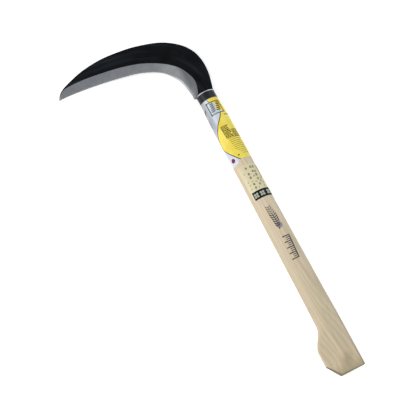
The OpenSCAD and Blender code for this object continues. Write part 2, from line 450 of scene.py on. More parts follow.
def bright_steel_material(name, dark, light, rough, shaded_ends=False):
    """Bare steel with fine scuffs. Shaded ends fade it to near black where the bead turns down the sides:
    painted shade, for the dark that the curved bead shows there.
    """
    s = Shader(name, Metallic=0.85)
    scuff = s.noise(700, 4.0, 0.65)
    colour = s.ramp(scuff, [(0.3, dark), (0.6, light)])
    if shaded_ends:
        middle = (ferrule_low.x + ferrule_high.x) / 2 * MM
        away = s.math("ABSOLUTE", s.plus(s.axes()["X"], -middle))
        # Painted shade at both ends of the bead
        colour = s.blend(s.span(away, 9.8, 12.2, 0.9), colour, srgb(40, 42, 46))
    return s.finish(colour, scuff, rough, rough + 0.16, s.bump(scuff, 0.03, 0.4))


def film_material(name, low, high, metal, rough, coat, cloud=90, side=None):
    """Printed plastic film: slight wrinkles, a clear gloss and clouds between two tints.

    A side colour, where given, is painted shade that darkens the film down the left of the label's upper
    part.
    """
    s = Shader(name, Metallic=metal, Specular_IOR_Level=0.25, Coat_Weight=coat, Coat_Roughness=0.22)
    wrinkle = s.noise(130, 2.0, 0.5, 0.3)
    tone = s.weigh((s.noise(420, 4.0, 0.6), 0.3), (s.noise(cloud, 2.0, along=0.5), 0.7))
    colour = s.ramp(tone, [(0.36, low), (0.64, high)])
    if side:
        x, y, _ = s.axes()
        # Painted shade down the left of the film
        colour = s.blend(s.times(s.span(x, -7.5, -12, 0.8), s.span(y, 335, 360)), colour, side)
    return s.finish(colour, wrinkle, rough, rough + 0.14, s.bump(wrinkle, 0.1, 0.35))


def ink_material(name, colour, rough=0.6, worn=0.25, back=None):
    """Printing or stamping ink, with small gaps where it didn't take."""
    s = Shader(name + "_ink", Specular_IOR_Level=0.18)
    colour = srgb(*colour)
    gaps = s.noise(1500, 3.0, 0.7)
    wear = s.ramp(s.weigh((s.noise(240, 2.0), 0.4), (gaps, 0.6)), [(0.50, 0.0), (0.62, 1.0)])
    under = back or tuple(min(1, c * 1.8 + 0.03) for c in colour[:3]) + (1,)
    colour = s.blend(s.times(wear, worn), colour, under)
    return s.finish(colour, gaps, rough - 0.08, rough + 0.1, s.bump(gaps, 0.02, 0.3))


# ---- handle surface

# Shares of the way from a section's crest to its side, closer together near the side
OUTWARD = 1 - (1 - np.linspace(0, 1, 121)) ** 2.2


def drawn_in(y):
    """How far short of its full swell the wood is at y, near the ferrule."""
    return SWELL * (1 - smooth(FERRULE_Y - y, 0, SWELL_RUN))


def reach_left(y):
    grip = mix(-GRIP_LEFT, -TOP_LEFT - SWELL, (y - HOOK_HIGH) / (FERRULE_Y - HOOK_HIGH))
    return mix(-HOOK_LEFT, grip, smooth(y, HOOK_LOW, HOOK_HIGH)) + drawn_in(y)


def reach_right(y):
    return mix(BUTT_RIGHT, TOP_RIGHT + SWELL, y / FERRULE_Y) - drawn_in(y)


def half_depth(y):
    return mix(BUTT_HALF_Z, HALF_Z, smooth(y, 0, RIDGE_HIGH)) - drawn_in(y)


def ridge_x(y):
    """The soft edge between the hoof's two shaved faces, which ends in the corner of the saw cuts."""
    x = mix(CUT_BOTTOM[0], SHAVE_END[0], smooth(y, 0, SHAVE_END[1]))
    return x - SHAVE_LEAN * max(y - SHAVE_END[1], 0)


def half_oval(left, right, half_z, squareness):
    """Upper half of an oval section, from its right side over the crest to its left."""
    peak = (left + right) / 2
    height = half_z * np.maximum(1 - OUTWARD ** squareness, 0) ** (1 / squareness)
    x = np.concatenate([peak + (right - peak) * OUTWARD[::-1], peak + (left - peak) * OUTWARD[1:]])
    return x, np.concatenate([height[::-1], height[1:]])


def handle_half(y, grow=0.0):
    """Upper half of the handle's section at y, with the hoof's top shaved to two faces."""
    shaved = 1 - smooth(y, SHAVE_LOW, RIDGE_HIGH)
    half_z = half_depth(y) + grow
    x, z = half_oval(reach_left(y) - grow, reach_right(y) + grow, half_z,
                     mix(SECTION_POWER, HOOK_POWER, shaved))
    ridge = ridge_x(y)
    fall = shaved * np.where(x < ridge, LEFT_FALL, RIGHT_FALL) * np.abs(x - ridge)
    clear = mix(1.5, 0.1, shaved)
    roof = half_z + clear - fall
    soft = 0.5
    rounding = np.maximum(soft - np.abs(z - roof), 0) ** 2 / (4 * soft)
    return x, np.minimum(z, roof) - rounding * (z > soft)


def ferrule_half(y, inset):
    share = (y - FERRULE_Y) / (SHOULDER_Y - FERRULE_Y)
    left = -TOP_LEFT - FERRULE_FLARE * share + inset
    return half_oval(left, TOP_RIGHT - inset, FERRULE_HALF_Z - inset, SECTION_POWER)


def ring_shares(count):
    """Even shares of the way round the upper half."""
    return np.linspace(0, 1, count // 2 + 1)


def at_shares(half, shares):
    """Points at shares of the length of half a section."""
    x, z = half
    run = np.concatenate([[0], np.cumsum(np.hypot(np.diff(x), np.diff(z)))])
    where = shares * run[-1]
    return np.interp(where, run, x), np.interp(where, run, z)


def closed_ring(x, y, z):
    """A whole ring from its upper half, where y is one height or one for each point."""
    y = np.broadcast_to(y, x.shape)
    upper = list(zip(x.tolist(), y.tolist(), z.tolist()))
    return upper + [(px, py, -pz) for px, py, pz in reversed(upper[1:-1])]


def ring_at(y, half, shares):
    """The ring at y through these shares of half a section."""
    x, z = at_shares(half, shares)
    return closed_ring(x, y, z)


@functools.cache
def round_from_crest(y):
    """Distance, x and z of points all round from the crest at y, to the right and to the left."""
    x, z = handle_half(y)
    crest = len(x) // 2
    ways = []
    for half_x, half_z in ((x[crest::-1], z[crest::-1]), (x[crest:], z[crest:])):
        round_x = np.concatenate([half_x, half_x[-2::-1]])
        round_z = np.concatenate([half_z, -half_z[-2::-1]])
        run = np.cumsum(np.hypot(np.diff(round_x), np.diff(round_z)))
        ways.append((np.concatenate([[0], run]), round_x, round_z))
    return ways


def on_handle(w, y, lift):
    """The place at w, the distance round the handle from its crest towards +X, and y, off by lift."""
    run, x, z = round_from_crest(round(y, 2))[0 if w >= 0 else 1]
    reach, turn, probe = abs(w), 1 if w >= 0 else -1, 0.4
    ends = (reach - probe, reach + probe)
    along = Vector((np.diff(np.interp(ends, run, x))[0], np.diff(np.interp(ends, run, z))[0]))
    along = along.normalized() * turn
    return (float(np.interp(reach, run, x)) - along.y * lift, y,
            float(np.interp(reach, run, z)) + along.x * lift)


# ---- prints on the handle

PRINT_STEP = 0.6
WIDEST_FACE = 0.7
ACROSS = (-1, -0.5, 0, 0.5, 1)


def between(a, b, t):
    return mix(a[0], b[0], t), mix(a[1], b[1], t)


def evenly(points):
    """Points along the same line, no further apart than PRINT_STEP."""
    line = [points[0]]
    for a, b in zip(points, points[1:]):
        count = max(1, math.ceil(math.dist(a, b) / PRINT_STEP))
        line += [between(a, b, k / count) for k in range(1, count + 1)]
    return line


def spline(a, b, c, d, t):
    return b + 0.5 * t * ((c - a) + t * ((2 * a - 5 * b + 4 * c - d) + t * (3 * (b - c) + d - a)))


def curve_through(points, steps=8):
    """Smooth line through given points."""
    line = []
    last = len(points) - 1
    for i in range(last):
        a, b = points[max(i - 1, 0)], points[i]
        c, d = points[i + 1], points[min(i + 2, last)]
        for k in range(steps):
            line.append(tuple(spline(a[n], b[n], c[n], d[n], k / steps) for n in (0, 1)))
    return line + [tuple(points[last])]


def border(sheet):
    """The vertices round the edge of a grid."""
    right = [row[-1] for row in sheet[:-1]]
    left = [row[0] for row in sheet[:0:-1]]
    return sheet[0][:-1] + right + sheet[-1][:0:-1] + left


class Print:
    """Thin closed patches that follow the handle's surface, gathered in one mesh."""

    def __init__(self, low, high):
        self.bm = bmesh.new()
        self.lifts = low, high

    def patch(self, rows):
        """A slab over a grid of (w, y) places, refined until it hugs the handle."""
        widest = max(abs(b[0] - a[0]) for row in rows for a, b in zip(row, row[1:]))
        parts = max(1, math.ceil(widest / WIDEST_FACE))
        rows = [[between(a, b, k / parts) for a, b in zip(row, row[1:]) for k in range(parts)]
                + [row[-1]] for row in rows]
        sheets = [[[self.bm.verts.new(on_handle(w, y, lift)) for w, y in row] for row in rows]
                  for lift in self.lifts]
        for sheet in sheets:
            for near, far in zip(sheet, sheet[1:]):
                for corners in zip(near, near[1:], far[1:], far):
                    self.bm.faces.new(corners)
        skirt(self.bm, border(sheets[0]), border(sheets[1]))
        return self

    def region(self, y_low, y_high, left, right, rows, columns):
        """The area between left and right, each a number or a function of y."""
        grid = []
        for i in range(rows + 1):
            y = mix(y_low, y_high, i / rows)
            ends = [edge(y) if callable(edge) else edge for edge in (left, right)]
            grid.append([(mix(*ends, j / columns), y) for j in range(columns + 1)])
        return self.patch(grid)

    def bar(self, w, y, width, height):
        """A rectangle about (w, y)."""
        columns = max(2, round(width / PRINT_STEP))
        places = [w + width * (j / columns - 0.5) for j in range(columns + 1)]
        return self.patch([[(place, y + height * t) for place in places] for t in (-0.5, 0.0, 0.5)])

    def sweep(self, points, shares, half_width):
        """A patch along (w, y) points, whose half width depends on the share of the way."""
        line = evenly(points)
        last = len(line) - 1
        grid = []
        for i, (w, y) in enumerate(line):
            before, after = line[max(i - 1, 0)], line[min(i + 1, last)]
            along = Vector((after[0] - before[0], after[1] - before[1])).normalized()
            half = half_width(i / last)
            grid.append([(w - along.y * half * t, y + along.x * half * t) for t in shares])
        return self.patch(grid)

    def ribbon(self, points, width):
        """A line of even width."""
        return self.sweep(points, (-1, 0, 1), lambda share: width / 2)

    def leaf(self, points, width):
        """A curved patch that tapers to both ends."""
        return self.sweep(curve_through(points, 4), ACROSS,
                          lambda share: width / 2 * max(0.08, math.sin(math.pi * share)))

    def disc(self, w, y, half_w, half_y, slices=14):
        grid = []
        for i in range(slices + 1):
            t = mix(-0.985, 0.985, i / slices)
            reach = half_w * math.sqrt(1 - t * t)
            grid.append([(w + reach * s, y + half_y * t) for s in ACROSS])
        return self.patch(grid)

    def done(self, name, material, slot, *nodes):
        belongs(new_object(name, self.bm, [material], 35), slot, *nodes)


# ---- handle

PIN_ANGLES = [2 * math.pi * j / 32 for j in range(32)]


def cut_height(x):
    """Where the butt's two saw cuts end the wood at x."""
    slope = (CUT_TOP[1] - CUT_BOTTOM[1]) / (CUT_TOP[0] - CUT_BOTTOM[0])
    return max(0.0, (x - CUT_BOTTOM[0]) * slope)


def make_handle(wood, end_grain_and_shade):
    """One turned and shaved billet, with the butt's saw cuts, the spigot and the tang's seat."""
    count, samples = 176, 2000
    edge_r = 0.9
    shares = ring_shares(count)
    x, _ = at_shares(handle_half(0, -edge_r), np.linspace(0, 1, samples))
    corner_share = np.argmin(np.abs(x - CUT_BOTTOM[0])) / (samples - 1)
    corner = int(np.argmin(np.abs(shares - corner_share)))
    shares[corner] = corner_share
    mid_cut = 8
    x, _ = at_shares(handle_half(mid_cut, -edge_r), shares)
    x[corner] = CUT_BOTTOM[0]
    starts = np.array([cut_height(v) for v in x])

    def skin(heights, grow=0.0):
        points = np.array([at_shares(handle_half(y, grow), share)
                           for y, share in zip(heights, shares)])
        return closed_ring(points[:, 0], heights, points[:, 1])

    rings = []
    for step in range(6):
        turn = math.radians(90 * step / 5)
        rings.append(skin(starts + edge_r * (1 - math.cos(turn)), -edge_r * (1 - math.sin(turn))))
    top = HOOK_LOW + 3
    rings += [skin(starts + edge_r + (top - starts - edge_r) * step / 22) for step in range(1, 23)]
    heights = [top + 1.4 * k for k in range(1, 58)]
    heights += [mix(heights[-1], FERRULE_Y - 0.4, k / 40) for k in range(1, 41)]
    rings += [ring_at(y, handle_half(y), shares) for y in heights]
    rings.append(ring_at(FERRULE_Y - 0.02, handle_half(FERRULE_Y, -0.3), shares))
    for y, inset in ((FERRULE_Y, FERRULE_WALL + 0.05), (SPIGOT_TOP - 0.4, FERRULE_WALL + 0.05),
                     (SPIGOT_TOP, FERRULE_WALL + 0.4)):
        rings.append(ring_at(y, ferrule_half(y, inset), shares))
    bm, rows = loft(rings, caps=False)
    verts = list(bm.verts)
    first = verts[:count]
    ends = [bm.faces.new(first[corner:count - corner + 1]),
            bm.faces.new(first[count - corner:] + first[:corner + 1]),
            bm.faces.new(verts[-count:])]
    # The end faces and the butt's rounded edge take the darker end grain, whose colours also hold painted
    # shade
    paint([ends] + rows[:3])
    handle = new_object("wood_handle", bm, [wood, end_grain_and_shade])
    slots = [tang_block("slot", 0.04, 6), wedge_block("wedge_slot")]
    slots += [pin_block("hole_%d" % i, y, PIN_R + 0.02, 14) for i, y in enumerate(pin_places())]
    cut_away(handle, slots, 40)
    belongs(handle, "handle_wood", "handle")


def pin_places():
    return (pins_high.y - PIN_R, pins_low.y + PIN_R)


def tang_block(name, spare, over):
    """The tang, which tapers to cut corners, grown by spare and by over past the shoulder."""
    corner, foot_y, top = 3.0, SHOULDER_Y - TANG_LENGTH, TANG_TOP + spare
    right = [(TANG_FOOT - corner, foot_y - spare), (TANG_FOOT + spare, foot_y + corner),
             (top, SHOULDER_Y), (top, SHOULDER_Y + over)]
    outline = [(-x, y) for x, y in reversed(right)] + right
    half = TANG_T / 2 + spare
    return prism(name, outline, lambda p, end: (TANG_MID_X + p[0], p[1], half * end))


def wedge_block(name):
    half_w = (wedge_high.x - wedge_low.x) / 2
    mid_x = (wedge_high.x + wedge_low.x) / 2
    outline = [(wedge_high.y + 2, wedge_low.z), (wedge_high.y + 2, wedge_high.z + 0.1),
               (wedge_low.y, wedge_low.z + 0.4), (wedge_low.y, wedge_low.z)]
    return prism(name, outline, lambda p, end: (mid_x + half_w * end, p[0], p[1]))


def pin_block(name, y, radius, reach):
    outline = [(radius * math.cos(a), radius * math.sin(a)) for a in PIN_ANGLES]
    return prism(name, outline, lambda p, end: (TANG_MID_X + p[0], y + p[1], reach * end))


def make_pins(material):
    """Wire nails with slightly domed, hammered heads, one turned skin each."""
    bm = bmesh.new()
    top = pins_high.z
    profile = [(0.0, top + 0.12), (0.45, top + 0.10), (0.9, top + 0.03), (1.25, top - 0.08),
               (PIN_R - 0.03, top - 0.25), (PIN_R, top - 0.45)]
    profile += [(r, -z) for r, z in reversed(profile)]
    for y in pin_places():
        rings = [[bm.verts.new((TANG_MID_X + r * math.cos(a), y + r * math.sin(a), z))
                  for a in PIN_ANGLES] for r, z in profile[1:-1]]
        for low, high in zip(rings, rings[1:]):
            skirt(bm, low, high)
        for (_, z), ring in ((profile[0], rings[0]), (profile[-1], rings[-1])):
            pole = bm.verts.new((TANG_MID_X, y, z))
            for a, b in zip(ring, ring[1:] + ring[:1]):
                bm.faces.new((pole, a, b))
    belongs(new_object("nails", bm, [material], 40), "pin_steel", "tang_pins")


# ---- ferrule

def make_ferrule(black, bright):
    """Pressed ring with a rounded lower lip and a bright rolled bead round its top."""
    top = SHOULDER_Y
    bead_r = 0.68
    bead_y = top - bead_r
    profile = [(FERRULE_WALL, FERRULE_Y + 0.2), (FERRULE_WALL - 0.2, FERRULE_Y), (0.3, FERRULE_Y),
               (0.08, FERRULE_Y + 0.1), (0.0, FERRULE_Y + 0.35)]
    profile += [(0.0, mix(FERRULE_Y + 0.35, bead_y - 0.75, k / 6)) for k in range(1, 7)]
    plain = len(profile)
    mid = bead_r - 0.18
    for k in range(11):
        a = math.radians(-62 + 152 * k / 10)
        profile.append((mid - bead_r * math.cos(a), bead_y + bead_r * math.sin(a)))
    bead = len(profile)
    profile += [(FERRULE_WALL - 0.1, top), (FERRULE_WALL, top - 0.15)]
    profile += [(FERRULE_WALL, mix(top - 0.15, FERRULE_Y + 0.2, k / 6)) for k in range(1, 6)]
    rings = [ring_at(y, ferrule_half(y, inset), ring_shares(144)) for inset, y in profile]
    bm, rows = loft(rings, caps=False, joined=True)
    paint(rows[plain:bead])
    belongs(new_object("ferrule_ring", bm, [black, bright], 50), "ferrule_steel", "ferrule")


# ---- blade

LAST = len(STATIONS) - 1
STEPS_PER_STATION = 14
EDGE_T = 0.25
HEEL_LIP = 1.2
# Where the strip of hard steel ends on the bevel and on the back, as shares from edge to bevel line
STEEL_FRONT, STEEL_BACK = 0.2, 0.6


def station(u):
    """Edge, bevel line, spine and thickness at u, in stations."""
    i = min(int(u), LAST - 1)
    near = [STATIONS[max(i - 1, 0)], STATIONS[i], STATIONS[i + 1], STATIONS[min(i + 2, LAST)]]
    found = []
    for part in range(3):
        x, y = (spline(*(s[part][axis] for s in near), u - i) for axis in (0, 1))
        found.append(Vector((x, y + SHOULDER_Y)))
    taper = spline(*(s[3] for s in near), u - i)
    return found[0], found[1], found[2], mix(SHOULDER_T, TIP_T, taper)


def forged(x, y):
    """Small uneven waves that hammering leaves on the black face."""
    broad = noise.noise(Vector((x * 0.06, y * 0.06, 3.1)))
    fine = noise.noise(Vector((x * 0.21, y * 0.21, 8.7)))
    return 0.11 * (broad + 0.35 * fine)


def bevel_height(u, t, share):
    """Height of the main bevel, which stands higher at the heel, where the edge is honed wide."""
    lip = mix(HEEL_LIP, EDGE_T, smooth(u, 2.4, 5.4))
    return mix(lip, t, share)


def blade_skin(section):
    """Skin through a section at even steps, and its strip map: u along the blade, v across, metres."""
    rings, strips = [], []
    run, before = 0.0, None
    for step in range(LAST * STEPS_PER_STATION + 1):
        u = step / STEPS_PER_STATION
        edge, bevel, spine, t = station(u)
        run += (bevel - (before or bevel)).length
        before = bevel
        points = section(u, edge, bevel, spine, t)
        rings.append([(p.x, p.y, BACK_Z + z) for p, z in points])
        strips.append([(run * MM, (p - edge).length * MM) for p, z in points])
    bm, rows = loft(rings)
    layer = bm.loops.layers.uv.new("strip")
    for i, row in enumerate(rows):
        for j, face in enumerate(row):
            k = (j + 1) % len(row)
            for loop, (a, b) in zip(face.loops, ((i, j), (i, k), (i + 1, k), (i + 1, j))):
                loop[layer].uv = strips[a][b]
    return bm, rows


def body_section(u, edge, bevel, spine, t):
    """Flat, slightly hollow back, rounded spine, forged black face and ground bevel."""
    inward = (bevel - spine).normalized()
    r = min(0.9, 0.35 * t, 0.4 * (bevel - spine).length)
    rim = spine + inward * r
    fade = min(1.0, u / 0.7) * min(1.0, (LAST - u) / 2)
    hollow, crown = 0.12 * fade, 0.45 * fade

    def fall(share):
        return crown * max(0.0, 1 - share / 0.45) ** 2

    weld = mix(edge, bevel, STEEL_BACK)
    back = [(mix(weld, rim, k / 8), hollow * math.sin(math.pi * k / 8)) for k in range(9)]
    turns = [math.radians(22.5 * k) for k in range(5)]
    arcs = [(spine + inward * r * (1 - math.sin(a)), r * (1 - math.cos(a))) for a in turns[1:]]
    arcs += [(spine + inward * r * (1 - math.cos(a)), t - fall(0) - r + r * math.sin(a))
             for a in turns]
    front = []
    for k in range(1, 13):
        share = k / 12
        p = mix(rim, bevel, share)
        wave = forged(p.x, p.y) * math.sin(math.pi * share) * fade
        front.append((p, t + wave - fall(share)))
    ground = []
    for k in range(1, 7):
        share = mix(1.0, STEEL_FRONT, k / 6)
        ground.append((mix(edge, bevel, share), bevel_height(u, t, share)))
    return back[-1:] + arcs + front + ground + back[:-1]


def steel_section(u, edge, bevel, spine, t):
    """Hard edge strip, with a narrow honed facet along the cutting edge."""
    hone = mix(0.14, 0.06, smooth(u, 3.0, 5.2))
    places = [(STEEL_BACK, 0.0), (STEEL_FRONT, bevel_height(u, t, STEEL_FRONT)),
              (mix(STEEL_FRONT, hone, 0.5), bevel_height(u, t, mix(STEEL_FRONT, hone, 0.5))),
              (hone, bevel_height(u, t, hone)), (0.0, 0.08), (0.0, 0.0), (0.3, 0.0)]
    return [(mix(edge, bevel, share), z) for share, z in places]


def make_blade(black, ground):
    bm, rows = blade_skin(body_section)
    # The bevel's 6 faces come after the 9 round the spine and the 12 of the black front
    paint(rows, 21, 27)
    blade = new_object("blade_forging", bm, [black, ground])
    holes = [pin_block("tang_hole_%d" % i, y, PIN_R, 8) for i, y in enumerate(pin_places())]
    cut_away(blade, [tang_block("tang", 0.0, 4)], 28, "UNION")
    cut_away(blade, holes, 28)
    belongs(blade, "blade_black", "blade_body")


def make_edge_strip(ground, bright):
    bm, rows = blade_skin(steel_section)
    paint(rows, 2, 5)
    belongs(new_object("edge_strip", bm, [ground, bright], 20), "edge_bright", "edge_steel")


# ---- labels and stamps

FILM_LOW, FILM_HIGH = 0.03, 0.2
INK = 0.035
FACE = FILM_HIGH + INK
ON_FACE = FACE + INK
FILM_RIGHT = 27.0
YELLOW_LOW = 303.7
LOBE_LOW = 298.8
FRAME_W, FRAME_Y = 1.0, 382.8
FRAME_HALF = 8.9


def seam_line():
    """Where the yellow print meets the silver, from the ferrule down."""
    return curve_through([
        (-4.6, upper_high.y), (-2.9, 392.7), (0.3, 390.6), (2.9, 387.7), (2.6, 383.9),
        (1.5, 380.4), (2.8, 378.1), (7.3, 376.3), (7.8, 375.3), (4.6, 373.9), (3.3, 372.5),
        (1.5, 368.9), (-2.0, 364.1), (-6.3, 359.4),
        (-9.3, 355.0), (-15.0, 347.0), (-19.0, 338.0), (-19.1, 328.0), (-14.0, 319.6),
        (-9.0, 312.8), (-4.8, 307.1), (-1.6, YELLOW_LOW)])


def make_upper_film(dark_ink, olive_ink):
    """Silver film with a lobe at its lower left, its yellow print and the pictures' stand-ins."""
    # The silver's side colour is painted shade down its left
    silver = film_material("silver_film", srgb(194, 202, 215), srgb(209, 216, 222), 0.1, 0.42, 0.1,
                           side=srgb(150, 152, 157))
    yellow = film_material("yellow_film", srgb(228, 204, 74), srgb(241, 223, 100), 0.0, 0.4, 0.12)
    top, left = upper_high.y, -23.1
    seam = seam_line()

    def seam_w(y):
        below = next((k for k in range(1, len(seam)) if seam[k][1] <= y), len(seam) - 1)
        (w0, y0), (w1, y1) = seam[below - 1], seam[below]
        return mix(w0, w1, min(max((y - y0) / ((y1 - y0) or 1), 0), 1))

    def lobe_right(y):
        t = min(max((YELLOW_LOW - y) / (YELLOW_LOW - LOBE_LOW), 0), 1)
        return -1.5 - 5.4 * t ** 0.4 - 3.6 * t ** 8

    base = Print(FILM_LOW, FILM_HIGH).region(YELLOW_LOW, top, left, FILM_RIGHT, 60, 64)
    base.region(LOBE_LOW, YELLOW_LOW, left, lobe_right, 18, 28)
    base.done("upper_film", silver, "foil_label", "upper_label")
    face = Print(FILM_HIGH, FACE).region(YELLOW_LOW, top, seam_w, FILM_RIGHT, 130, 52)
    face.done("yellow_print", yellow, "foil_label")

    olive, slate, sprig = [Print(FACE, ON_FACE) for _ in range(3)]
    olive.ribbon([p for p in seam if p[1] < 374.3], 1.15)
    olive.ribbon([p for p in seam if p[1] > 391.9], 0.6)
    west, east = FRAME_W - FRAME_HALF, FRAME_W + FRAME_HALF
    south, north = FRAME_Y - FRAME_HALF, FRAME_Y + FRAME_HALF
    slate.ribbon([(west, south - 1.2), (west, north + 1.0)], 1.15)
    slate.ribbon([(west - 1.0, south), (FRAME_W + 5.6, south)], 1.0)
    slate.ribbon([(west - 1.2, north), (FRAME_W - 1.4, north)], 1.0)
    olive.ribbon([(FRAME_W - 1.6, north), (east + 0.4, north)], 1.15)
    olive.ribbon([(east, north + 0.6), (east, south - 1.2)], 1.25)
    olive.ribbon([(FRAME_W + 5.4, south), (east + 1.0, south)], 1.1)
    draw_sprig(sprig, FRAME_W - 3.7, 0.9)
    draw_sprig(olive, FRAME_W + 4.1, 1.3)
    sprig.done("sprig_print", ink_material("sprig", (86, 98, 106)), "foil_label")
    slate.done("slate_print", dark_ink, "foil_label")
    olive.done("olive_print", olive_ink, "foil_label")

    leaf = Print(FILM_HIGH, FACE)
    leaf.leaf([(-12.0, 386.7), (-14.8, 384.6), (-17.8, 381.9), (-20.5, 378.4)], 3.8)
    leaf.done("side_leaf", ink_material("umber", (108, 100, 104), 0.5, 0.3), "foil_label")
    tint = Print(FILM_HIGH, FACE)
    tint.leaf([(-15.4, 371.0), (-17.3, 367.7), (-17.5, 364.1), (-18.7, 360.6)], 4.4)
    tint.leaf([(-21.7, 352.0), (-20.9, 348.5), (-22.0, 345.1)], 1.6)
    tint.done("side_shade", ink_material("lilac", (142, 138, 164), 0.5, 0.4), "foil_label")
    for name, low, high, half_w, half_y, ink in (
            ("dot_halo", FILM_HIGH, FACE, 4.4, 4.2,
             ink_material("pink", (224, 206, 214), 0.5, 0.1)),
            ("plum_dot", FACE, ON_FACE, 3.1, 3.0, ink_material("plum", (92, 30, 62))),
            ("dot_core", ON_FACE, ON_FACE + 0.02, 1.0, 0.9,
             ink_material("rose", (138, 68, 100)))):
        Print(low, high).disc(-12.1, 306.3, half_w, half_y).done(name, ink, "foil_label")


def draw_sprig(printer, w, lean):
    """A plain leafy sprig that fills half of the frame."""
    stalk = curve_through([(w - lean, FRAME_Y - 6.6), (w + 0.5, FRAME_Y), (w + lean, FRAME_Y + 6.8)])
    printer.ribbon(stalk, 0.7)
    for k in range(5):
        at = Vector(stalk[2 + 3 * k])
        for side in (-1, 1):
            out = Vector((side * (3.3 - 0.25 * k), 2.2))
            printer.leaf([tuple(at), tuple(at + out * 0.5 + Vector((0.0, -0.3))), tuple(at + out)],
                         1.5)


def make_yellow_words(olive_ink):
    """Blocks of small bars on the yellow, laid out like a title and lines of fine print."""
    bold = Print(FACE, FACE + 0.025)
    for start, end, top, pitch, rows, thick in ((-6.2, 3.9, 353.5, 2.05, 9, 1.45),
                                                (5.5, 15.0, 345.9, 1.7, 7, 1.1)):
        for row in range(rows):
            w, last = start + 0.14 * row, end + rng.uniform(-1.2, 0.6)
            while w < last:
                width = rng.uniform(0.8, 3.4)
                bold.bar(w + width / 2, top - pitch * row, width, thick)
                w += width + 0.45
    for line in (-0.7, 0.7):
        w = 7.2
        while w < 19.1:
            width = rng.uniform(1.0, 2.2)
            bold.bar(w + width / 2, 369.5 + line, width, 0.75)
            w += width + 0.35
    bold.disc(-1.3, 309.6, 1.4, 0.9)
    bold.done("title_bars", olive_ink, "foil_label")

    fine = Print(FACE, FACE + 0.02)
    for row in range(10):
        w = -3.7 + 0.45 * row + max(0, row - 6) * 1.6
        while w < 22.5:
            width = rng.uniform(0.7, 2.0)
            fine.bar(w + width / 2, 335.1 - 2.75 * row, width, 0.95)
            w += width + rng.uniform(0.3, 0.6)
    fine.done("fine_bars", ink_material("tan", (146, 126, 34), 0.6, 0.45), "foil_label")


def make_lower_label():
    """Cream label: columns of small marks over a dark band with pale blocks."""
    cream = film_material("cream_film", srgb(209, 198, 164), srgb(219, 210, 174), 0.0, 0.5, 0.08, 50)
    left, low, high = -12.4, lower_low.y, lower_high.y
    band_low, band_high = low + 0.15, low + 11.4
    base = Print(FILM_LOW, FILM_HIGH).region(low, high, left, FILM_RIGHT, 40, 50)
    base.done("lower_film", cream, "cream_label", "lower_label")
    band = Print(FILM_HIGH, FACE)
    band.region(band_low, band_high, left + 1.8, FILM_RIGHT - 1.2, 10, 50)
    band.done("dark_band", ink_material("black", (14, 13, 7), 0.55, 0.1), "cream_label")

    blocks = Print(FACE, FACE + 0.03)
    for w in (-6.2, 2.4, 12.1, 21.5):
        at = Vector((w, (band_low + band_high) / 2 - 0.1))
        for k in range(4):
            turn = math.radians(45 + 90 * k)
            out = Vector((math.cos(turn), math.sin(turn)))
            blocks.leaf([tuple(at + out * reach) for reach in (0.5, 2.3, 4.1)], 3.2)
    blocks.done("band_blocks", ink_material("pale", (164, 170, 156), 0.6, 0.2), "cream_label")

    dark, middling, soft = [Print(FILM_HIGH, FACE) for _ in range(3)]
    for y, size, printer in ((288.7, 2.6, dark), (280.1, 2.9, dark), (274.9, 3.0, dark),
                             (269.2, 1.8, soft), (265.1, 2.9, dark), (259.9, 2.9, dark)):
        print_glyph(printer, -1.9, y, size)
    for w, y, size in ((4.4, 288.7, 3.2), (8.0, 288.1, 3.2), (4.5, 282.1, 2.9), (7.8, 281.4, 2.8),
                       (6.9, 276.4, 3.4), (6.3, 270.6, 2.9), (5.3, 263.1, 3.0)):
        print_glyph(middling, w, y, size)
    for w, y, size in ((3.1, 275.5, 2.4), (9.2, 266.9, 2.8), (11.5, 270.8, 2.6), (11.8, 264.2, 2.4),
                       (10.5, 259.2, 2.2), (2.3, 267.7, 2.0), (2.5, 258.9, 2.0),
                       (-7.5, 282.9, 2.0), (-7.8, 270.5, 1.8), (-7.3, 265.9, 2.0), (-7.6, 260.7, 1.8)):
        print_glyph(soft, w, y, size)
    for k in range(8):
        print_glyph(middling, 14.1 + 0.1 * k, 288.2 - 2.3 * k, 2.4)
    for printer, name, ink, colour, worn in (
            (dark, "column_marks", "moss", (84, 80, 40), 0.25),
            (middling, "paired_marks", "fern", (106, 104, 64), 0.3),
            (soft, "faint_marks", "sage", (140, 136, 96), 0.4)):
        printer.done(name, ink_material(ink, colour, 0.6, worn), "cream_label")


def print_glyph(printer, w, y, size):
    """A small lozenge split by a thin gap, which stands for one printed mark and spells nothing."""
    half = size / 2
    lean = rng.uniform(-0.12, 0.12) * size
    for side in (-1, 1):
        # Width, lean and height of each row, from the gap outwards
        rows = ((0.8 * half, lean, 0.08 * size), (0.95 * half, 0, half * 0.5), (half / 2, -lean, half))
        printer.patch([[(w + t * reach + shift, y + side * rise) for t in ACROSS]
                       for reach, shift, rise in rows])


